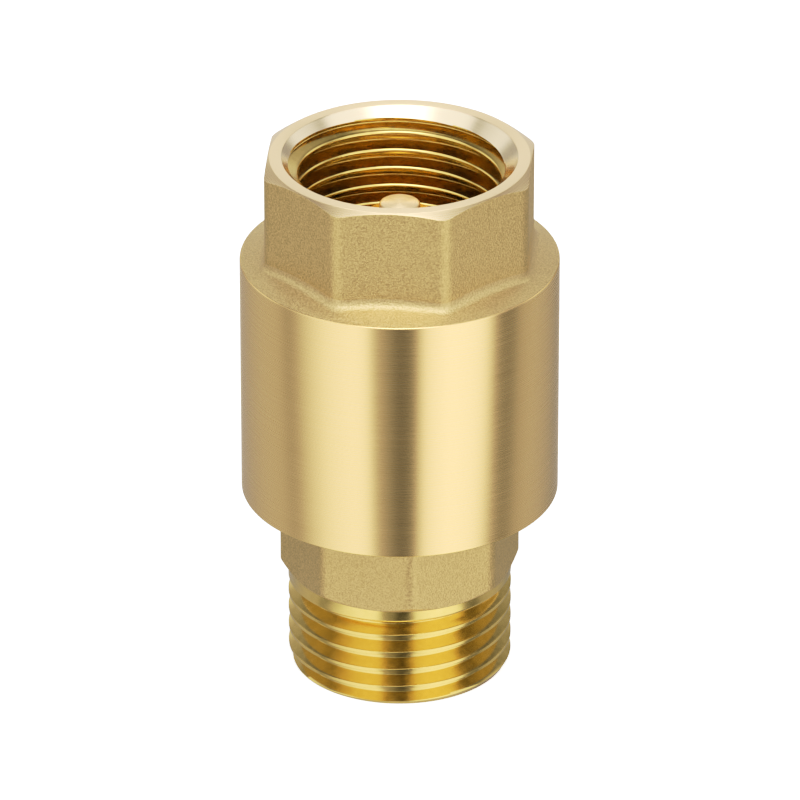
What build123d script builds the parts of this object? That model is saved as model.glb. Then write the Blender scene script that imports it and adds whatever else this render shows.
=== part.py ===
"""In-line spring check valve, G 1/2 female outlet above, G 1/2 male inlet below.

Millimetres, +Z up. The origin is on the valve's axis, in the plane of the inlet's end face,
so the valve stands on its male end. Water enters at the bottom, lifts the poppet off its
seat against the spring, and leaves at the top.
"""
from build123d import *
import math
import os

# ---------------------------------------------------------------- driving dimensions

# G 1/2 pipe thread: 14 threads to the inch, 55 degree flanks, right-hand
pitch = 1.814
thread_major_r = 10.4775
thread_minor_r = 9.3155
half_flank_angle = 27.5
crest_width = 0.32
least_groove_volume = 250

# heights above the inlet's end face
male_thread_top = 10.0
barrel_bottom = 18.1
barrel_top = 41.7
octagon_foot = 42.7
valve_top = 52.0

# outer shape; a turn is the angle from +X to the first corner of an octagon
barrel_r = 14.8
barrel_edge = 0.15
upper_across_flats = 24.3
upper_corner_r = 1.9
upper_turn = 18.4
lower_across_flats = 21.0
lower_corner_r = 1.6
lower_turn = 5.5
end_land_r = 12.0
upper_chamfer_angle = 30
lower_chamfer_angle = 40

# inside of the body
outlet_mouth_r = 10.9
outlet_thread_depth = 10.9
chamber_r = 12.2
chamber_top = 38.6
joint_thread_r = 13.5
joint_thread_top = 24.1

# end nipple and seat
inlet_bore_r = 6.9
inlet_chamfer = 0.5
male_tip_r = 10.1
male_tip_chamfer = 0.7
male_groove_start = -2.13
male_groove_end = 8.8
nipple_top = 22.8
nipple_floor = 20.6
nipple_cup_r = 11.6
seat_z = 21.8
seat_outer_r = 8.0
seat_foot_r = 8.5

# poppet
lift = 3.5
stop_gap = 0.05
running_clearance = 0.04
stem_r = 1.9
stem_top = 47.25
stem_edge = 0.25
stem_collar_r = 2.6
stem_thread_r = 1.5
stem_thread_end = 0.5
seal_r = 9.0
seal_thickness = 1.8
disc_r = 9.7
disc_thickness = 1.6
disc_rim_depth = 1.1
disc_edge = 0.5
retainer_r = 5.6
retainer_thickness = 0.9
retainer_edge = 0.3
lock_washer_r = 2.75
lock_washer_thickness = 0.7
lock_washer_split = 0.5
nut_across_flats = 5.5
nut_height = 2.2
nut_corner_drop = 0.6

# stem guide
guide_rim_height = 2.0
guide_rim_width = 1.5
guide_plate_r = 5.8
guide_plate_height = 1.6
guide_arm_count = 4
guide_arm_turn = 45
guide_arm_width = 2.2
arm_outer_r = 8.4
arm_knee_r = 6.6
arm_knee_rise = 0.8
arm_drop_at_hub = 1.8
hub_r = 3.9
hub_top = 45.7
hub_edge = 0.4
hub_collar_length = 1.4

# guide snap ring
snap_ring_height = 0.8
snap_ring_width = 1.1
snap_groove_depth = 0.6
snap_ring_play = 0.1
snap_ring_gap_angle = 50

# return spring and its washer
spring_wire_r = 0.3
spring_mean_r = 4.6
spring_turns = 6
spring_washer_r = 5.6
spring_washer_thickness = 0.6

# heights and sizes that follow from the ones above
seal_top = seat_z + seal_thickness
disc_bottom = seal_top - disc_rim_depth
disc_top = seal_top + disc_thickness
retainer_bottom = seat_z - retainer_thickness
lock_washer_bottom = retainer_bottom - lock_washer_thickness
nut_bottom = lock_washer_bottom - nut_height
stem_bottom = nut_bottom - stem_thread_end
spring_bottom = disc_top + spring_washer_thickness
guide_bottom = chamber_top - guide_rim_height
hub_bottom = guide_bottom - hub_collar_length
stem_collar_top = hub_bottom - lift - stop_gap
snap_ring_bottom = guide_bottom - snap_ring_height
snap_ring_r = chamber_r + snap_groove_depth - snap_ring_play
o_ring_section_r = (joint_thread_top - nipple_top) / 2
o_ring_centre_r = joint_thread_r - o_ring_section_r

os.makedirs("parts", exist_ok=True)


# ---------------------------------------------------------------- shared shapes

def turned(*outline):
    """A body of revolution about Z, from its half outline of (radius, height) points."""
    with BuildPart() as shape:
        with BuildSketch(Plane.XZ):
            with BuildLine():
                Polyline(*outline, close=True)
            make_face()
        revolve(axis=Axis.Z)
    return shape.part


def octagon_prism(across_flats, corner_r, turn, bottom, top):
    """An eight-sided bar on Z with rounded corners."""
    with BuildPart() as prism:
        with BuildSketch(Plane.XY.offset(bottom)) as section:
            RegularPolygon(across_flats / 2, 8, major_radius=False, rotation=turn)
            fillet(section.vertices(), corner_r)
        extrude(amount=top - bottom)
    return prism.part


def thread_groove(crest_r, root_r, first_z, turns):
    """The helical V groove of a pipe thread, from the radius of its crests to its root's."""
    out = 1 if root_r > crest_r else -1
    depth = abs(root_r - crest_r)
    spill = 0.3
    root_half = crest_width / 2
    mouth_half = root_half + (depth + spill) * math.tan(math.radians(half_flank_angle))
    with BuildPart() as groove:
        with BuildLine() as path:
            Helix(
                pitch=pitch,
                height=pitch * turns,
                radius=crest_r,
                center=(0, 0, first_z),
            )
        start = Plane(origin=path.line @ 0, x_dir=(1, 0, 0), z_dir=path.line % 0)
        with BuildSketch(start):
            with BuildLine():
                Polyline(
                    (-out * spill, -mouth_half),
                    (-out * spill, mouth_half),
                    (out * depth, root_half),
                    (out * depth, -root_half),
                    close=True,
                )
            make_face()
        sweep(path=path.line, is_frenet=True)
    return groove.part


# ---------------------------------------------------------------- valve body

barrel_blank = turned(
    (0, barrel_bottom),
    (barrel_r - barrel_edge, barrel_bottom),
    (barrel_r, barrel_bottom + barrel_edge),
    (barrel_r, barrel_top),
    (upper_across_flats / 2, octagon_foot),
    (0, octagon_foot),
)
outlet_octagon = octagon_prism(
    upper_across_flats, upper_corner_r, upper_turn, barrel_top, valve_top
)
outlet_end_cut = turned(
    (end_land_r, valve_top),
    (barrel_r, valve_top - (barrel_r - end_land_r) * math.tan(math.radians(upper_chamfer_angle))),
    (barrel_r, valve_top),
)
body_bore = turned(
    (0, barrel_bottom),
    (joint_thread_r + barrel_edge, barrel_bottom),
    (joint_thread_r, barrel_bottom + barrel_edge),
    (joint_thread_r, joint_thread_top),
    (chamber_r, joint_thread_top),
    (chamber_r, snap_ring_bottom),
    (chamber_r + snap_groove_depth, snap_ring_bottom),
    (chamber_r + snap_groove_depth, guide_bottom),
    (chamber_r, guide_bottom),
    (chamber_r, chamber_top),
    (thread_minor_r, chamber_top),
    (thread_minor_r, valve_top - (outlet_mouth_r - thread_minor_r)),
    (outlet_mouth_r, valve_top),
    (0, valve_top),
)
outlet_groove = thread_groove(
    thread_minor_r,
    thread_major_r,
    valve_top - outlet_thread_depth,
    outlet_thread_depth / pitch + 1,
)
with BuildPart() as body:
    add(barrel_blank)
    add(outlet_octagon)
    add(outlet_end_cut, mode=Mode.SUBTRACT)
    add(body_bore, mode=Mode.SUBTRACT)
    plain_volume = body.part.volume
    add(outlet_groove, mode=Mode.SUBTRACT)
# a cut that fails leaves the part plain and raises nothing, so each groove is checked
if plain_volume - body.part.volume < least_groove_volume:
    raise ValueError("the groove of the outlet thread was not cut")
body.part.label = "valve_body"
export_step(body.part, "parts/valve_body.step")

# ---------------------------------------------------------------- end nipple

lower_reach = barrel_r - thread_major_r
lower_octagon = octagon_prism(
    lower_across_flats, lower_corner_r, lower_turn, male_thread_top, barrel_bottom
)
lower_octagon_cut = turned(
    (thread_major_r, male_thread_top),
    (barrel_r, male_thread_top),
    (barrel_r, male_thread_top + lower_reach * math.tan(math.radians(lower_chamfer_angle))),
)
male_end = turned(
    (0, 0),
    (male_tip_r, 0),
    (thread_major_r, male_tip_chamfer),
    (thread_major_r, male_thread_top),
    (0, male_thread_top),
)
joint_flange = turned(
    (0, barrel_bottom),
    (joint_thread_r, barrel_bottom),
    (joint_thread_r, nipple_top),
    (nipple_cup_r, nipple_top),
    (nipple_cup_r, nipple_floor),
    (seat_foot_r, nipple_floor),
    (seat_outer_r, seat_z),
    (0, seat_z),
)
inlet_bore = turned(
    (0, 0),
    (inlet_bore_r + inlet_chamfer, 0),
    (inlet_bore_r, inlet_chamfer),
    (inlet_bore_r, seat_z),
    (0, seat_z),
)
male_groove = thread_groove(
    thread_major_r,
    thread_minor_r,
    male_groove_start,
    (male_groove_end - male_groove_start) / pitch,
)
with BuildPart() as nipple:
    add(lower_octagon)
    add(lower_octagon_cut, mode=Mode.SUBTRACT)
    add(joint_flange)
    add(male_end)
    add(inlet_bore, mode=Mode.SUBTRACT)
    plain_volume = nipple.part.volume
    add(male_groove, mode=Mode.SUBTRACT)
if plain_volume - nipple.part.volume < least_groove_volume:
    raise ValueError("the groove of the male thread was not cut")
nipple.part.label = "end_nipple"
export_step(nipple.part, "parts/end_nipple.step")

# ---------------------------------------------------------------- body O-ring

with BuildPart() as o_ring:
    with BuildSketch(Plane.XZ):
        with Locations((o_ring_centre_r, nipple_top + o_ring_section_r)):
            Circle(o_ring_section_r)
    revolve(axis=Axis.Z)
o_ring.part.label = "body_o_ring"
export_step(o_ring.part, "parts/body_o_ring.step")

# ---------------------------------------------------------------- stem guide

guide_rim_inner_r = chamber_r - guide_rim_width
rim_middle_r = chamber_r - guide_rim_width / 2
arm_top = chamber_top - 0.3
arm_root_r = hub_r - 0.8
with BuildPart() as guide:
    with BuildSketch(Plane.XY.offset(guide_bottom)):
        Circle(chamber_r)
        Circle(guide_rim_inner_r, mode=Mode.SUBTRACT)
    extrude(amount=guide_rim_height)
    with BuildSketch(Plane.XY.offset(guide_bottom)):
        Circle(guide_plate_r)
    extrude(amount=guide_plate_height)
    with BuildSketch(Plane.XY.offset(hub_bottom)):
        Circle(hub_r)
    extrude(amount=hub_top - hub_bottom)
    chamfer(guide.faces().sort_by(Axis.Z)[-1].edges(), hub_edge)
    for index in range(guide_arm_count):
        turn = guide_arm_turn + index * 360 / guide_arm_count
        with BuildSketch(Plane.XZ.rotated((0, 0, turn))):
            with BuildLine():
                Polyline(
                    (arm_root_r, guide_bottom),
                    (rim_middle_r, guide_bottom),
                    (rim_middle_r, arm_top),
                    (arm_outer_r, arm_top),
                    (arm_knee_r, chamber_top + arm_knee_rise),
                    (arm_root_r, hub_top - arm_drop_at_hub),
                    close=True,
                )
            make_face()
        extrude(amount=guide_arm_width / 2, both=True)
    with Locations((0, 0, hub_top)):
        Hole(stem_r + running_clearance)
guide.part.label = "stem_guide"
export_step(guide.part, "parts/stem_guide.step")

# ---------------------------------------------------------------- guide snap ring

snap_ring_gap = 2 * snap_ring_r * math.sin(math.radians(snap_ring_gap_angle / 2))
with BuildPart() as snap_ring:
    with BuildSketch(Plane.XY.offset(snap_ring_bottom)):
        Circle(snap_ring_r)
        Circle(snap_ring_r - snap_ring_width, mode=Mode.SUBTRACT)
        with Locations((0, snap_ring_r)):
            Rectangle(snap_ring_gap, snap_ring_r / 2, mode=Mode.SUBTRACT)
    extrude(amount=snap_ring_height)
snap_ring.part.label = "guide_snap_ring"
export_step(snap_ring.part, "parts/guide_snap_ring.step")

# ---------------------------------------------------------------- return spring

coil_height = guide_bottom - spring_bottom - 2 * spring_wire_r
with BuildPart() as spring:
    with BuildLine() as coil:
        Helix(
            pitch=coil_height / spring_turns,
            height=coil_height,
            radius=spring_mean_r,
            center=(0, 0, spring_bottom + spring_wire_r),
        )
    with BuildSketch(Plane(origin=coil.line @ 0, z_dir=coil.line % 0)):
        Circle(spring_wire_r)
    sweep(path=coil.line, is_frenet=True)
spring.part.label = "return_spring"
export_step(spring.part, "parts/return_spring.step")

# ---------------------------------------------------------------- spring washer

with BuildPart() as spring_washer:
    with BuildSketch(Plane.XY.offset(disc_top)):
        Circle(spring_washer_r)
        Circle(stem_collar_r + running_clearance, mode=Mode.SUBTRACT)
    extrude(amount=spring_washer_thickness)
spring_washer.part.label = "spring_washer"
export_step(spring_washer.part, "parts/spring_washer.step")

# ---------------------------------------------------------------- poppet stem

with BuildPart() as stem:
    with BuildSketch(Plane.XZ):
        with BuildLine():
            Polyline(
                (0, stem_bottom),
                (stem_thread_r - stem_edge, stem_bottom),
                (stem_thread_r, stem_bottom + stem_edge),
                (stem_thread_r, disc_top),
                (stem_collar_r, disc_top),
                (stem_collar_r, stem_collar_top),
                (stem_r, stem_collar_top),
                (stem_r, stem_top - stem_edge),
                (stem_r - stem_edge, stem_top),
                (0, stem_top),
                close=True,
            )
        make_face()
    revolve(axis=Axis.Z)
stem.part.label = "poppet_stem"
export_step(stem.part, "parts/poppet_stem.step")

# ---------------------------------------------------------------- poppet disc

with BuildPart() as disc:
    with BuildSketch(Plane.XY.offset(disc_bottom)):
        Circle(disc_r)
    extrude(amount=disc_top - disc_bottom)
    chamfer(disc.faces().sort_by(Axis.Z)[-1].edges(), disc_edge)
    with BuildSketch(Plane.XY.offset(disc_bottom)):
        Circle(seal_r)
    extrude(amount=disc_rim_depth, mode=Mode.SUBTRACT)
    with Locations((0, 0, disc_top)):
        Hole(stem_thread_r)
disc.part.label = "poppet_disc"
export_step(disc.part, "parts/poppet_disc.step")

# ---------------------------------------------------------------- seat seal

with BuildPart() as seal:
    with BuildSketch(Plane.XY.offset(seat_z)):
        Circle(seal_r)
        Circle(stem_thread_r, mode=Mode.SUBTRACT)
    extrude(amount=seal_thickness)
seal.part.label = "seat_seal"
export_step(seal.part, "parts/seat_seal.step")

# ---------------------------------------------------------------- seal retainer

with BuildPart() as retainer:
    with BuildSketch(Plane.XY.offset(retainer_bottom)):
        Circle(retainer_r)
    extrude(amount=retainer_thickness)
    chamfer(retainer.faces().sort_by(Axis.Z)[0].edges(), retainer_edge)
    with Locations((0, 0, seat_z)):
        Hole(stem_thread_r)
retainer.part.label = "seal_retainer"
export_step(retainer.part, "parts/seal_retainer.step")

# ---------------------------------------------------------------- lock washer

with BuildPart() as lock_washer:
    with BuildSketch(Plane.XY.offset(lock_washer_bottom)):
        Circle(lock_washer_r)
        Circle(stem_thread_r, mode=Mode.SUBTRACT)
        with Locations((lock_washer_r, 0)):
            Rectangle(lock_washer_r, lock_washer_split, mode=Mode.SUBTRACT)
    extrude(amount=lock_washer_thickness)
lock_washer.part.label = "lock_washer"
export_step(lock_washer.part, "parts/lock_washer.step")

# ---------------------------------------------------------------- stem nut

nut_corner_r = nut_across_flats / math.sqrt(3)
nut_corner_cut = turned(
    (nut_across_flats / 2, nut_bottom),
    (nut_corner_r, nut_bottom),
    (nut_corner_r, nut_bottom + nut_corner_drop),
)
with BuildPart() as nut:
    with BuildSketch(Plane.XY.offset(nut_bottom)):
        RegularPolygon(nut_across_flats / 2, 6, major_radius=False)
        Circle(stem_thread_r, mode=Mode.SUBTRACT)
    extrude(amount=nut_height)
    add(nut_corner_cut, mode=Mode.SUBTRACT)
nut.part.label = "stem_nut"
export_step(nut.part, "parts/stem_nut.step")
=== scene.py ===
"""In-line brass spring check valve on a pale studio floor.

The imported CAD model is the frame: every piece here is built round the sizes it gives, in
metres, and rides on the CAD body that moves it.
"""
import math

import bmesh
import bpy
from mathutils import Matrix, Vector


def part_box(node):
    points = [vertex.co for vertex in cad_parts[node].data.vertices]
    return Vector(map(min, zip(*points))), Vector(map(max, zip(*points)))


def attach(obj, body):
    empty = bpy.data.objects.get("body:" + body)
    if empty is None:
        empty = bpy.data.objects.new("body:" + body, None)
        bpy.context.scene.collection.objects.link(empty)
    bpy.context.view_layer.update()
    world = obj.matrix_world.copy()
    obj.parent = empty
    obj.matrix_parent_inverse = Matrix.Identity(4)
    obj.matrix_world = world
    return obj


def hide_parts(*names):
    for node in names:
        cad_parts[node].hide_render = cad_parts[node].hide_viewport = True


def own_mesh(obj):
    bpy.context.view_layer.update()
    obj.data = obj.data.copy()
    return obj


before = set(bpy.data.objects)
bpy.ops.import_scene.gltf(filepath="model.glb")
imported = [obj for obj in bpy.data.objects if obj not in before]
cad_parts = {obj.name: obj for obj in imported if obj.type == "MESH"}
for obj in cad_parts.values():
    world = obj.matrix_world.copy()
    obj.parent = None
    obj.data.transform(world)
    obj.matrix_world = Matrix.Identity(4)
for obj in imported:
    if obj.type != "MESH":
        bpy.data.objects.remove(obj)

MM = 0.001
TURN = 2 * math.pi
EIGHTH = TURN / 8

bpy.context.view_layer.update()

# ---------------------------------------------------------------- sizes

body_low, body_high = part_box("valve_body")
stem_low, stem_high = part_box("poppet_stem")
snap_low, snap_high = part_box("guide_snap_ring")
spring_low, spring_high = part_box("return_spring")
nipple_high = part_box("end_nipple")[1]

barrel_r = body_high.x
barrel_bottom = body_low.z
valve_top = body_high.z
joint_r = nipple_high.x
joint_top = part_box("body_o_ring")[1].z
nipple_top = nipple_high.z
seat_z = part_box("seat_seal")[0].z
chamber_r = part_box("stem_guide")[1].x
snap_groove_low = snap_low.z
snap_groove_high = snap_high.z
snap_ring_play = 0.1 * MM
snap_groove_r = snap_high.x + snap_ring_play

# sizes inside the boxes, as in the CAD model
pitch = 1.814 * MM
thread_major_r = 10.4775 * MM
thread_minor_r = 9.3155 * MM
barrel_top = 41.7 * MM
octagon_foot = 42.7 * MM
upper_across_flats = 24.3 * MM
upper_corner_r = 1.9 * MM
upper_turn = math.radians(18.4)
upper_chamfer = math.radians(30)
lower_across_flats = 21.0 * MM
lower_corner_r = 1.6 * MM
lower_turn = math.radians(5.5)
lower_chamfer = math.radians(40)
end_land_r = 12.0 * MM
outlet_mouth_r = 10.9 * MM
chamber_top = 38.6 * MM
male_thread_top = 10.0 * MM
male_tip_r = 10.1 * MM
male_tip_chamfer = 0.7 * MM
inlet_bore_r = 6.9 * MM
inlet_chamfer = 0.5 * MM
nipple_floor = 20.6 * MM
nipple_cup_r = 11.6 * MM
seat_outer_r = 8.0 * MM
seat_foot_r = 8.5 * MM
barrel_edge = 0.15 * MM
spring_wire_r = 0.3 * MM
spring_turns = 6

# sizes that only the visual model has
socket_phase = 0.37 * MM
male_phase = 0.60 * MM
socket_crest_width = 0.38 * MM
male_crest_width = 0.26 * MM
root_width = 0.34 * MM
outlet_thread_low = 40.5 * MM
foot_fillet = 1.0 * MM
floor_gap = 0.03 * MM


# ---------------------------------------------------------------- mesh kit

def rounded(corners, steps=4):
    """The points of an outline of (r, z, rounding radius, finish) corners, with the corners
    rounded off. Each point carries the finish of the stretch that follows it."""
    points = []
    last = len(corners) - 1
    for index, (r, z, rounding, finish) in enumerate(corners):
        here = Vector((r, z))
        if rounding == 0 or index in (0, last):
            points.append((r, z, finish))
            continue
        back = (Vector(corners[index - 1][:2]) - here).normalized()
        ahead = (Vector(corners[index + 1][:2]) - here).normalized()
        half = back.angle(ahead) / 2
        centre = here + (back + ahead).normalized() * (rounding / math.sin(half))
        start = here + back * (rounding / math.tan(half)) - centre
        end = here + ahead * (rounding / math.tan(half)) - centre
        sweep = math.atan2(start.x * end.y - start.y * end.x, start.dot(end))
        for step in range(steps + 1):
            spoke = Matrix.Rotation(sweep * step / steps, 2) @ start
            point = centre + spoke
            points.append((point.x, point.y, finish))
    return points


def octagon_corner(across_flats, corner_r):
    """How far from the axis a rounded corner has its centre, and half the angle it takes up."""
    centre = (across_flats / 2 - corner_r) / math.cos(EIGHTH / 2)
    tangent = math.atan2(
        corner_r * math.sin(EIGHTH / 2), centre + corner_r * math.cos(EIGHTH / 2)
    )
    return centre, tangent


def octagon_radius(angle, across_flats, corner_r, turn):
    """The distance from the axis to an octagon with rounded corners, at an angle round it."""
    off_corner = (angle - turn + EIGHTH / 2) % EIGHTH - EIGHTH / 2
    centre, tangent = octagon_corner(across_flats, corner_r)
    if abs(off_corner) >= tangent:
        return across_flats / 2 / math.cos(EIGHTH / 2 - abs(off_corner))
    return centre * math.cos(off_corner) + math.sqrt(
        corner_r ** 2 - (centre * math.sin(off_corner)) ** 2
    )


def octagon_angles(across_flats, corner_r, turn, corner_steps=8, flat_steps=26):
    """Angles round the axis for a mesh's columns, closer together at an octagon's corners."""
    tangent = octagon_corner(across_flats, corner_r)[1]
    flat = EIGHTH - 2 * tangent
    angles = []
    for corner in range(8):
        middle = turn + corner * EIGHTH
        angles += [middle + tangent * (2 * s / corner_steps - 1) for s in range(corner_steps)]
        angles += [middle + tangent + flat * s / flat_steps for s in range(flat_steps)]
    return angles


def even_angles(count):
    """Evenly spaced angles round the axis."""
    return [TURN * index / count for index in range(count)]


def polar(r, angle, z):
    """A point at a radius, an angle and a height."""
    return (r * math.cos(angle), r * math.sin(angle), z)


def add_columns(bm, angles, outline_at, closed=False):
    """Faces round the axis, between an outline of (r, z, finish) points at each angle."""
    columns = []
    finishes = []
    for angle in angles:
        points = outline_at(angle)
        columns.append([bm.verts.new(polar(r, angle, z)) for r, z, finish in points])
        finishes = [finish for r, z, finish in points]
    rows = len(finishes)
    for index, column in enumerate(columns):
        beside = columns[(index + 1) % len(columns)]
        for row in range(rows if closed else rows - 1):
            above = (row + 1) % rows
            face = bm.faces.new((column[row], beside[row], beside[above], column[above]))
            face.material_index = finishes[row]


def thread_rows(crest_width, crest_rounding, root_rounding, step=0.19 * MM):
    """One pitch of a thread's outline as (height, depth below the crest) points, no further
    apart than about a step."""
    depth = thread_major_r - thread_minor_r
    hair = 1e-9
    corners = [
        (0, -crest_width / 2, 0, 0),
        (0, crest_width / 2, crest_rounding, 0),
        (depth, (pitch - root_width) / 2, root_rounding, 0),
        (depth, (pitch + root_width) / 2, root_rounding, 0),
        (0, pitch - crest_width / 2, crest_rounding, 0),
        (0, pitch + crest_width / 2, 0, 0),
    ]
    points = [(z, d) for d, z, finish in rounded(corners, steps=5)]
    start = points[0][0]
    points = [(z, d) for z, d in points if z < start + pitch - hair]
    fine = []
    for (z, d), (z_next, d_next) in zip(points, points[1:] + [(start + pitch, 0)]):
        pieces = max(1, round(math.hypot(z_next - z, d_next - d) / step))
        fine += [
            (z + (z_next - z) * k / pieces, d + (d_next - d) * k / pieces)
            for k in range(pieces)
        ]
    return fine


def depth_at(rows, z):
    """The depth of a thread's outline at a height, repeated every pitch."""
    start = rows[0][0]
    z = (z - start) % pitch + start
    for (low, d), (high, d_next) in zip(rows, rows[1:] + [(start + pitch, rows[0][1])]):
        if low <= z <= high:
            return d + (d_next - d) * (z - low) / (high - low)
    return rows[0][1]


def add_thread(bm, angles, rows, phase, low, high, radius_at, finish_at):
    """A right-hand helical thread between two heights. Its rows of faces follow the helix, and
    rows past either height are pressed flat onto it, where they make no face.
    radius_at(depth, z) turns a depth below the crest into a radius, and finish_at(r, z) picks
    each face's finish."""
    first = math.floor((low - phase) / pitch) - 2
    last = math.ceil((high - phase) / pitch) + 1
    per_turn = len(rows)
    columns = []
    for angle in angles:
        rise = pitch * (angle - angles[0]) / TURN
        column = []
        for turn in range(first, last):
            for z, depth in rows:
                height = phase + turn * pitch + z + rise
                inside = min(max(height, low), high)
                if inside != height:
                    depth = depth_at(rows, inside - phase - rise)
                r = radius_at(depth, inside)
                column.append(bm.verts.new(polar(r, angle, inside)))
        columns.append(column)
    for index, column in enumerate(columns):
        seam = index + 1 == len(columns)
        beside = columns[0] if seam else columns[index + 1]
        shift = per_turn if seam else 0
        for row in range(len(column) - 1 - shift):
            corners = (column[row], beside[row + shift], beside[row + 1 + shift], column[row + 1])
            if len({tuple(round(c, 8) for c in v.co) for v in corners}) > 2:
                face = bm.faces.new(corners)
                middle = face.calc_center_median()
                face.material_index = finish_at(middle.xy.length, middle.z)


def finish_piece(bm, name, materials, body, node, sharp=38):
    """Makes a mesh piece of a bmesh, shaded smooth with sharp edges, in place of a CAD node."""
    same_place = 1e-6
    no_length = 1e-7
    bmesh.ops.remove_doubles(bm, verts=bm.verts, dist=same_place)
    bmesh.ops.dissolve_degenerate(bm, dist=no_length, edges=bm.edges)
    bmesh.ops.delete(bm, geom=[v for v in bm.verts if not v.link_faces], context="VERTS")
    bmesh.ops.recalc_face_normals(bm, faces=bm.faces)
    mesh = bpy.data.meshes.new(name)
    bm.to_mesh(mesh)
    bm.free()
    for material in materials:
        mesh.materials.append(material)
    mesh.shade_smooth()
    mesh.set_sharp_from_angle(angle=math.radians(sharp))
    piece = bpy.data.objects.new(name, mesh)
    bpy.context.scene.collection.objects.link(piece)
    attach(piece, body)
    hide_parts(node)
    return piece


# ---------------------------------------------------------------- material kit

class Nodes:
    """A node tree, with short calls for the nodes used here."""

    def __init__(self, tree):
        self.tree = tree

    def new(self, kind, **settings):
        node = self.tree.nodes.new(kind)
        for key, value in settings.items():
            setattr(node, key, value)
        return node

    def link(self, source, target):
        self.tree.links.new(source, target)

    def scaled(self, vector, scale):
        """Coordinates stretched by three factors."""
        node = self.new("ShaderNodeMapping")
        node.inputs["Scale"].default_value = scale
        self.link(vector, node.inputs["Vector"])
        return node.outputs["Vector"]

    def noise(self, vector, scale=1.0, detail=3.0, roughness=0.55):
        node = self.new("ShaderNodeTexNoise")
        node.inputs["Scale"].default_value = scale
        node.inputs["Detail"].default_value = detail
        node.inputs["Roughness"].default_value = roughness
        self.link(vector, node.inputs["Vector"])
        return node.outputs["Fac"]

    def spread(self, value, low, high, to_low=0.0, to_high=1.0, soft=False):
        """Maps the range low to high onto another range."""
        node = self.new("ShaderNodeMapRange")
        node.interpolation_type = "SMOOTHSTEP" if soft else "LINEAR"
        node.inputs["From Min"].default_value = low
        node.inputs["From Max"].default_value = high
        node.inputs["To Min"].default_value = to_low
        node.inputs["To Max"].default_value = to_high
        self.link(value, node.inputs["Value"])
        return node.outputs["Result"]

    def math(self, operation, *values):
        node = self.new("ShaderNodeMath", operation=operation)
        for value, socket in zip(values, node.inputs):
            if isinstance(value, (int, float)):
                socket.default_value = value
            else:
                self.link(value, socket)
        return node.outputs[0]

    def blend(self, factor, first, second):
        """A colour between two colours."""
        node = self.new("ShaderNodeMix", data_type="RGBA")
        node.inputs["A"].default_value = (*first, 1)
        node.inputs["B"].default_value = (*second, 1)
        self.link(factor, node.inputs["Factor"])
        return node.outputs["Result"]


class Surface(Nodes):
    """A material's node tree."""

    def __init__(self, name):
        self.material = bpy.data.materials.new(name)
        self.material.use_nodes = True
        super().__init__(self.material.node_tree)
        self.shader = self.tree.nodes["Principled BSDF"]
        self.place = self.new("ShaderNodeTexCoord").outputs["Object"]

    def color(self, factor, first, second):
        self.link(self.blend(factor, first, second), self.shader.inputs["Base Color"])

    def rough(self, value, low, high):
        """Roughness that follows a noise, whose values mostly lie between 0.3 and 0.7."""
        self.link(self.spread(value, 0.3, 0.7, low, high), self.shader.inputs["Roughness"])

    def bump(self, height, distance, strength=1.0):
        node = self.new("ShaderNodeBump")
        node.inputs["Distance"].default_value = distance
        node.inputs["Strength"].default_value = strength
        self.link(height, node.inputs["Height"])
        self.link(node.outputs["Normal"], self.shader.inputs["Normal"])

    def turned(self, anisotropy):
        """Tool marks round the axis, which draw reflections out across them."""
        tangent = self.new("ShaderNodeTangent", direction_type="RADIAL", axis="Z")
        self.link(tangent.outputs["Tangent"], self.shader.inputs["Tangent"])
        self.shader.inputs["Anisotropic"].default_value = anisotropy
        self.shader.inputs["Anisotropic Rotation"].default_value = 0.25

    def around_axis(self, scale):
        """Coordinates that only change along the radius and the height."""
        split = self.new("ShaderNodeSeparateXYZ")
        self.link(self.place, split.inputs[0])
        flat = self.new("ShaderNodeCombineXYZ")
        self.link(split.outputs["X"], flat.inputs["X"])
        self.link(split.outputs["Y"], flat.inputs["Y"])
        radius = self.new("ShaderNodeVectorMath", operation="LENGTH")
        self.link(flat.outputs[0], radius.inputs[0])
        both = self.new("ShaderNodeCombineXYZ")
        self.link(self.math("MULTIPLY", radius.outputs["Value"], scale), both.inputs["X"])
        self.link(self.math("MULTIPLY", split.outputs["Z"], scale), both.inputs["Z"])
        return both.outputs[0]

    def set(self, **values):
        """Sets the shader's own values, the same all over the surface."""
        for key, value in values.items():
            self.shader.inputs[key].default_value = value


def sandblasted_brass():
    """As forged and sandblasted: matt, with a fine grain."""
    s = Surface("sandblasted_brass")
    grain = s.noise(s.place, scale=6500, detail=1)
    s.set(Metallic=1.0)
    s.color(s.spread(grain, 0.35, 0.65), (0.51, 0.36, 0.14), (0.71, 0.515, 0.225))
    s.rough(grain, 0.44, 0.56)
    s.bump(grain, 0.00012, 0.5)
    return s.material


def shoulder_highlight_brass():
    """The octagon's foot and shoulder: the sandblasted brass, a little smoother, with its colour
    painted a little brighter as a painted highlight on the fillet and the slope.
    """
    s = Surface("shoulder_highlight_brass")
    grain = s.noise(s.place, scale=6500, detail=1)
    s.set(Metallic=1.0)
    s.color(s.spread(grain, 0.35, 0.65), (0.555, 0.41, 0.18), (0.735, 0.55, 0.27))
    s.rough(grain, 0.42, 0.54)
    s.bump(grain, 0.0001, 0.5)
    return s.material


def satin_brass():
    """Turned and satin finished, with fine rings round the axis."""
    s = Surface("satin_turned_brass")
    rings = s.noise(s.scaled(s.place, (60, 60, 14000)), detail=2.5)
    s.set(Metallic=1.0)
    s.turned(0.75)
    s.color(s.spread(rings, 0.3, 0.7), (0.91, 0.622, 0.255), (0.95, 0.655, 0.28))
    s.rough(rings, 0.24, 0.30)
    s.bump(rings, 0.000004, 0.6)
    return s.material


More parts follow.
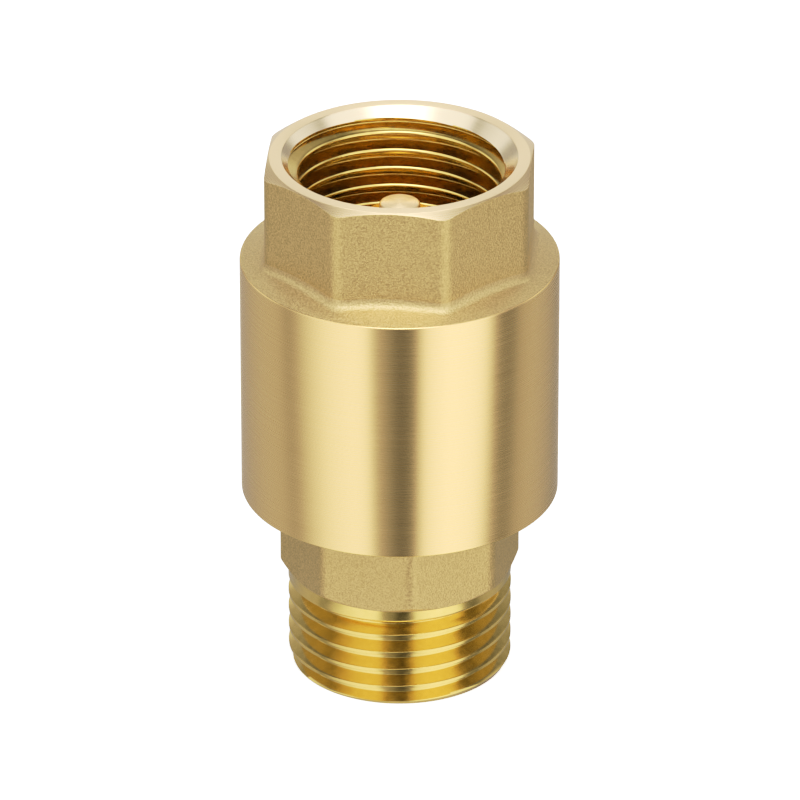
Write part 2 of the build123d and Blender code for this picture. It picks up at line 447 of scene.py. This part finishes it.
def faced_brass():
    """Faced on a lathe: bright ends and chamfers with fine rings."""
    s = Surface("faced_brass")
    rings = s.noise(s.around_axis(9000), detail=2)
    s.set(Metallic=1.0)
    s.turned(0.7)
    s.color(s.spread(rings, 0.3, 0.7), (0.93, 0.69, 0.38), (0.94, 0.70, 0.39))
    s.rough(rings, 0.27, 0.29)
    return s.material


def bevel_highlight_brass():
    """The bevel at the mouth: smooth bright brass with its colour painted pale, a painted
    highlight.
    """
    s = Surface("bevel_highlight_brass")
    rings = s.noise(s.around_axis(5000), detail=2)
    s.set(Metallic=1.0)
    s.color(s.spread(rings, 0.3, 0.7), (0.94, 0.76, 0.48), (0.97, 0.79, 0.52))
    s.rough(rings, 0.16, 0.22)
    return s.material


def machined_shaded_brass():
    """Cut bright on a lathe: threads and bores. Its brass colour is painted darker and deeper,
    painted shade for the grooves and bores.
    """
    s = Surface("machined_shaded_brass")
    cut = s.noise(s.place, scale=1400, detail=2)
    s.set(Metallic=1.0)
    s.color(s.spread(cut, 0.3, 0.7), (0.76, 0.54, 0.16), (0.82, 0.585, 0.185))
    s.rough(cut, 0.13, 0.20)
    s.bump(cut, 0.000004, 0.4)
    return s.material


def steel():
    """Drawn stainless steel."""
    s = Surface("stainless_steel")
    drawn = s.noise(s.place, scale=2500, detail=2)
    s.set(Metallic=1.0)
    s.color(s.spread(drawn, 0.3, 0.7), (0.56, 0.56, 0.55), (0.60, 0.60, 0.585))
    s.rough(drawn, 0.22, 0.28)
    return s.material


def rubber():
    """Moulded black nitrile rubber."""
    s = Surface("black_rubber")
    skin = s.noise(s.place, scale=2500, detail=2)
    s.color(s.spread(skin, 0.3, 0.7), (0.018, 0.018, 0.018), (0.032, 0.032, 0.031))
    s.rough(skin, 0.5, 0.65)
    s.bump(skin, 0.00001, 0.5)
    return s.material


# The shoulder and mouth-bevel materials carry a painted highlight; the machined material carries
# painted shade.
SANDBLASTED, SHOULDER_HIGHLIGHT, SATIN, FACED, BEVEL_HIGHLIGHT, MACHINED_SHADED = range(6)
sandblasted = sandblasted_brass()
shoulder = shoulder_highlight_brass()
satin = satin_brass()
faced = faced_brass()
bevel_highlight = bevel_highlight_brass()
machined_shaded = machined_shaded_brass()
stainless = steel()
nitrile = rubber()
brass_finishes = [sandblasted, shoulder, satin, faced, bevel_highlight, machined_shaded]


# ---------------------------------------------------------------- valve body

def make_body():
    """Octagon with the outlet thread, sloping shoulder, turned barrel and the bore inside."""
    angles = octagon_angles(upper_across_flats, upper_corner_r, upper_turn)
    lip = 0.12 * MM
    mouth_edge = 0.05 * MM
    land_edge = 0.08 * MM
    octagon_edge = 0.06 * MM
    shoulder_edge = 0.18 * MM
    turned_edge = 0.1 * MM
    chamfer_slope = math.tan(upper_chamfer)
    shoulder_slope = (octagon_foot - barrel_top) / (barrel_r - upper_across_flats / 2)

    def bevel_r(z):
        return outlet_mouth_r - (valve_top - z)

    def outline_at(angle):
        flat = octagon_radius(angle, upper_across_flats, upper_corner_r, upper_turn)
        edge_z = valve_top - max(0, flat - end_land_r) * chamfer_slope
        foot_z = octagon_foot - (flat - upper_across_flats / 2) * shoulder_slope
        return rounded([
            (outlet_mouth_r - lip, valve_top - lip, 0, BEVEL_HIGHLIGHT),
            (outlet_mouth_r, valve_top, mouth_edge, FACED),
            (end_land_r, valve_top, land_edge, FACED),
            (flat, edge_z, octagon_edge, SANDBLASTED),
            # The foot fillet and the sloping shoulder get a painted highlight: a brighter copy of
            # the sandblasted colour.
            (flat, foot_z, foot_fillet, SHOULDER_HIGHLIGHT),
            (barrel_r, barrel_top, shoulder_edge, SATIN),
            (barrel_r, barrel_bottom, turned_edge, MACHINED_SHADED),
            (joint_r + barrel_edge, barrel_bottom, 0, MACHINED_SHADED),
            (joint_r, barrel_bottom + barrel_edge, 0, MACHINED_SHADED),
            (joint_r, joint_top, 0, MACHINED_SHADED),
            (chamber_r, joint_top, mouth_edge, MACHINED_SHADED),
            (chamber_r, snap_groove_low, 0, MACHINED_SHADED),
            (snap_groove_r, snap_groove_low, 0, MACHINED_SHADED),
            (snap_groove_r, snap_groove_high, 0, MACHINED_SHADED),
            (chamber_r, snap_groove_high, 0, MACHINED_SHADED),
            (chamber_r, chamber_top, 0, MACHINED_SHADED),
            (thread_minor_r, chamber_top, turned_edge, MACHINED_SHADED),
            (thread_minor_r, outlet_thread_low, 0, MACHINED_SHADED),
        ])

    def thread_r(depth, z):
        fade = min(1, max(0, (z - outlet_thread_low) / pitch))
        return max(thread_minor_r + depth * fade, bevel_r(z))

    # Faces on the mouth bevel get the pale colour of a painted highlight; the rest get the
    # machined colour, darkened as painted shade.
    def thread_finish(r, z):
        on_bevel = abs(r - bevel_r(z)) < 0.01 * MM
        return BEVEL_HIGHLIGHT if on_bevel else MACHINED_SHADED

    bm = bmesh.new()
    add_columns(bm, angles, outline_at)
    rows = thread_rows(socket_crest_width, crest_rounding=0.30 * MM, root_rounding=0.10 * MM)
    low, high = outlet_thread_low, valve_top - lip
    add_thread(bm, angles, rows, socket_phase, low, high, thread_r, thread_finish)
    return finish_piece(bm, "body_forging", brass_finishes, "valve", "valve_body")


# ---------------------------------------------------------------- end nipple

def make_nipple():
    """Male thread, lower octagon, joint flange and the seat."""
    angles = octagon_angles(lower_across_flats, lower_corner_r, lower_turn)
    chamfer_slope = math.tan(lower_chamfer)
    octagon_edge = 0.06 * MM
    neck_edge = 0.04 * MM
    flange_edge = 0.1 * MM
    cup_edge = 0.15 * MM
    seat_edge = 0.12 * MM
    bore_edge = 0.05 * MM
    neck = 0.6 * MM
    runout_start = 0.8 * MM
    runout_length = 0.9 * MM
    neck_z = male_thread_top - neck

    def outline_at(angle):
        flat = octagon_radius(angle, lower_across_flats, lower_corner_r, lower_turn)
        edge_z = male_thread_top + (flat - thread_major_r) * chamfer_slope
        return rounded([
            (thread_major_r, neck_z, 0, MACHINED_SHADED),
            (thread_major_r, male_thread_top, neck_edge, SANDBLASTED),
            (flat, edge_z, octagon_edge, SANDBLASTED),
            (flat, barrel_bottom, 0, MACHINED_SHADED),
            (joint_r, barrel_bottom, 0, MACHINED_SHADED),
            (joint_r, nipple_top, flange_edge, MACHINED_SHADED),
            (nipple_cup_r, nipple_top, flange_edge, MACHINED_SHADED),
            (nipple_cup_r, nipple_floor, cup_edge, MACHINED_SHADED),
            (seat_foot_r, nipple_floor, cup_edge, MACHINED_SHADED),
            (seat_outer_r, seat_z, seat_edge, MACHINED_SHADED),
            (inlet_bore_r, seat_z, seat_edge, MACHINED_SHADED),
            (inlet_bore_r, inlet_chamfer, bore_edge, MACHINED_SHADED),
            (inlet_bore_r + inlet_chamfer, 0, bore_edge, MACHINED_SHADED),
            (male_tip_r, 0, 0, MACHINED_SHADED),
        ])

    def thread_r(depth, z):
        fade = min(1, max(0, (male_thread_top - runout_start - z) / runout_length))
        tip = male_tip_r + z * (thread_major_r - male_tip_r) / male_tip_chamfer
        return min(thread_major_r - depth * fade, tip)

    bm = bmesh.new()
    add_columns(bm, angles, outline_at)
    rows = thread_rows(male_crest_width, crest_rounding=0.03 * MM, root_rounding=0.12 * MM)
    add_thread(bm, angles, rows, male_phase, 0, neck_z, thread_r, lambda r, z: MACHINED_SHADED)
    return finish_piece(
        bm, "nipple_turning", brass_finishes, "valve", "end_nipple"
    )


# ---------------------------------------------------------------- poppet stem

def make_stem():
    """The poppet's stem, with the bright end that shows in the outlet."""
    stem_r = 1.9 * MM
    collar_r = stem_high.x
    collar_top = 31.65 * MM
    thread_r = 1.5 * MM
    disc_top = 25.2 * MM
    thread_edge = 0.25 * MM
    collar_edge = 0.15 * MM
    end_edge = 0.22 * MM
    columns = 96

    outline = rounded([
        (0, stem_low.z, 0, MACHINED_SHADED),
        (thread_r, stem_low.z, thread_edge, MACHINED_SHADED),
        (thread_r, disc_top, 0, MACHINED_SHADED),
        (collar_r, disc_top, 0, MACHINED_SHADED),
        (collar_r, collar_top, collar_edge, MACHINED_SHADED),
        (stem_r, collar_top, 0, MACHINED_SHADED),
        (stem_r, stem_high.z, end_edge, FACED),
        (0, stem_high.z, 0, FACED),
    ])
    bm = bmesh.new()
    add_columns(bm, even_angles(columns), lambda angle: outline)
    return finish_piece(bm, "stem_rod", brass_finishes, "poppet", "poppet_stem")


# ---------------------------------------------------------------- return spring

def make_spring():
    """A coil of round wire, held at its top by the guide."""
    coil_r = spring_high.x - spring_wire_r
    coil_low = spring_low.z + spring_wire_r
    coil_height = spring_high.z - spring_low.z - 2 * spring_wire_r
    climb = coil_height / (TURN * spring_turns)
    steps = 56 * spring_turns
    sides = 14

    bm = bmesh.new()
    rings = []
    for step in range(steps + 1):
        angle = TURN * spring_turns * step / steps
        outward = Vector((math.cos(angle), math.sin(angle), 0))
        along = Vector((-coil_r * math.sin(angle), coil_r * math.cos(angle), climb)).normalized()
        across = along.cross(outward)
        centre = outward * coil_r + Vector((0, 0, coil_low + coil_height * step / steps))
        rings.append([
            bm.verts.new(centre + (outward * math.cos(a) + across * math.sin(a)) * spring_wire_r)
            for a in even_angles(sides)
        ])
    for ring, ahead in zip(rings, rings[1:]):
        for side in range(sides):
            beside = (side + 1) % sides
            bm.faces.new((ring[side], ring[beside], ahead[beside], ahead[side]))
    bm.faces.new(rings[0])
    bm.faces.new(rings[-1])
    coil = finish_piece(bm, "spring_coil", [stainless], "valve", "return_spring")

    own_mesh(coil)


make_body()
make_nipple()
make_stem()
make_spring()

# The machined material used here is the brass colour darkened as painted shade.
cad_finishes = {
    "stem_guide": machined_shaded,
    "guide_snap_ring": stainless,
    "spring_washer": stainless,
    "poppet_disc": machined_shaded,
    "seat_seal": nitrile,
    "seal_retainer": machined_shaded,
    "lock_washer": stainless,
    "stem_nut": stainless,
    "body_o_ring": nitrile,
}
for node, material in cad_finishes.items():
    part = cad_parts[node]
    part.data.materials.clear()
    part.data.materials.append(material)


# ---------------------------------------------------------------- floor, light and camera

def make_floor():
    """A plain pale floor that glows softly. It casts no shadow, and the metal doesn't reflect
    it. It lies a hair below the valve, clear of the nipple's end face."""
    width = 6
    bpy.ops.mesh.primitive_plane_add(size=width)
    floor = bpy.context.object
    floor.name = "floor"
    floor.location.z = -floor_gap
    s = Surface("pale_floor")
    s.color(s.noise(s.place, scale=4), (0.955, 0.955, 0.955), (0.97, 0.97, 0.97))
    s.set(Roughness=0.9)
    s.shader.inputs["Emission Color"].default_value = (1, 1, 1, 1)
    s.shader.inputs["Emission Strength"].default_value = 1.0
    floor.data.materials.append(s.material)
    floor.visible_glossy = False
    floor.visible_shadow = False


def compass_point(azimuth, height):
    """The direction at an angle from the front and a height, both in degrees."""
    azimuth = math.radians(azimuth)
    height = math.radians(height)
    level = math.cos(height)
    return (level * math.sin(azimuth), -level * math.cos(azimuth), math.sin(height))


def sines(angles):
    """The sines of angles in degrees."""
    return [math.sin(math.radians(degrees)) for degrees in angles]


def make_world():
    """The studio round the valve: brightness by compass direction near the horizon, a soft
    overhead light over the front half with a dark ceiling behind it, a dimmer ground below,
    and soft round lights in front, beside and behind. Directions are in degrees from the
    front, positive to the right."""
    studio = [
        (-180, 0.40),
        (-140, 0.45),
        (-115, 0.56),
        (-94, 0.56),
        (-89, 0.36),
        (-81, 0.38),
        (-66, 1.00),
        (-54, 1.42),
        (-34, 1.66),
        (-23, 1.62),
        (-18, 0.46),
        (-8, 0.30),
        (-1, 0.08),
        (11, 0.12),
        (18, 1.50),
        (36, 1.86),
        (58, 1.72),
        (65, 1.55),
        (71, 0.34),
        (78, 0.22),
        (88, 0.22),
        (94, 0.48),
        (110, 0.56),
        (130, 0.46),
        (150, 0.34),
        (180, 0.40),
    ]
    brightest = 2
    overhead = 1.5
    back_of_ceiling = 0.16
    ground = 0.7
    ground_fade = (-80, -55)
    ceiling_fade = (20, 42)
    back_fade = 0.12
    soft_lights = [
        # compass direction, height, inner and outer radius, and brightness
        (0, 62, 12, 26, 2.8),
        (-115, 25, 10, 25, 0.7),
        (115, 25, 10, 25, 0.7),
        (180, 61, 8, 20, 3.4),
        (180, 40, 12, 34, 0.52),
        (180, 0, 24, 34, 0.4),
    ]

    world = bpy.data.worlds.new("studio")
    bpy.context.scene.world = world
    world.use_nodes = True
    n = Nodes(world.node_tree)
    direction = n.new("ShaderNodeTexCoord").outputs["Generated"]
    split = n.new("ShaderNodeSeparateXYZ")
    n.link(direction, split.inputs[0])
    compass = n.math("ARCTAN2", split.outputs["X"], n.math("MULTIPLY", split.outputs["Y"], -1))
    ramp = n.new("ShaderNodeValToRGB")
    stops = ramp.color_ramp.elements
    for degrees, brightness in studio[1:-1]:
        stops.new((degrees + 180) / 360)
    for stop, (degrees, brightness) in zip(sorted(stops, key=lambda s: s.position), studio):
        stop.color = (*[brightness / brightest] * 3, 1)
    n.link(n.spread(compass, -math.pi, math.pi), ramp.inputs["Fac"])
    horizon = n.math("MULTIPLY", ramp.outputs["Color"], brightest)

    height = split.outputs["Z"]
    above_ground = n.spread(height, *sines(ground_fade), soft=True)
    into_ceiling = n.spread(height, *sines(ceiling_fade), soft=True)
    behind = n.spread(split.outputs["Y"], 0.0, back_fade, soft=True)
    ceiling = n.math("MULTIPLY_ADD", behind, back_of_ceiling - overhead, overhead)
    lower = n.math("MULTIPLY_ADD", n.math("SUBTRACT", horizon, ground), above_ground, ground)
    upper = n.math("MULTIPLY_ADD", n.math("SUBTRACT", ceiling, lower), into_ceiling, lower)

    total = upper
    for azimuth, rise, inner, outer, brightness in soft_lights:
        toward = n.new("ShaderNodeVectorMath", operation="DOT_PRODUCT")
        toward.inputs[1].default_value = compass_point(azimuth, rise)
        n.link(direction, toward.inputs[0])
        edges = [math.cos(math.radians(degrees)) for degrees in (outer, inner)]
        glow = n.spread(toward.outputs["Value"], *edges, 0, brightness, soft=True)
        total = n.math("ADD", total, glow)
    n.link(total, n.tree.nodes["Background"].inputs["Color"])


def make_camera():
    """A long lens, looking down on the valve from the front."""
    elevation = math.radians(27.47)
    distance = 793.4 * MM
    focal_length = 383.5
    sensor_width = 36
    nearest = 0.05
    farthest = 20
    aim = Vector((0.025, 0, 26.753)) * MM
    back = Vector((0, -math.cos(elevation), math.sin(elevation)))
    camera = bpy.data.objects.new("camera", bpy.data.cameras.new("camera"))
    camera.location = aim + back * distance
    camera.rotation_euler = (math.pi / 2 - elevation, 0, 0)
    camera.data.sensor_width = sensor_width
    camera.data.lens = focal_length
    camera.data.clip_start = nearest
    camera.data.clip_end = farthest
    bpy.context.scene.collection.objects.link(camera)
    bpy.context.scene.camera = camera


def develop():
    """The picture's tone curve: straight in the shadows, with a soft shoulder to white."""
    shoulder = [
        (0.33, 0.32),
        (0.46, 0.45),
        (0.67, 0.60),
        (0.97, 0.75),
        (1.36, 0.90),
    ]
    white = 1.65
    view = bpy.context.scene.view_settings
    view.view_transform = "Standard"
    view.use_curve_mapping = True
    mapping = view.curve_mapping
    mapping.white_level = (white, white, white)
    for light, shown in shoulder:
        mapping.curves[3].points.new(light / white, shown)
    mapping.update()


make_floor()
make_world()
make_camera()
develop()
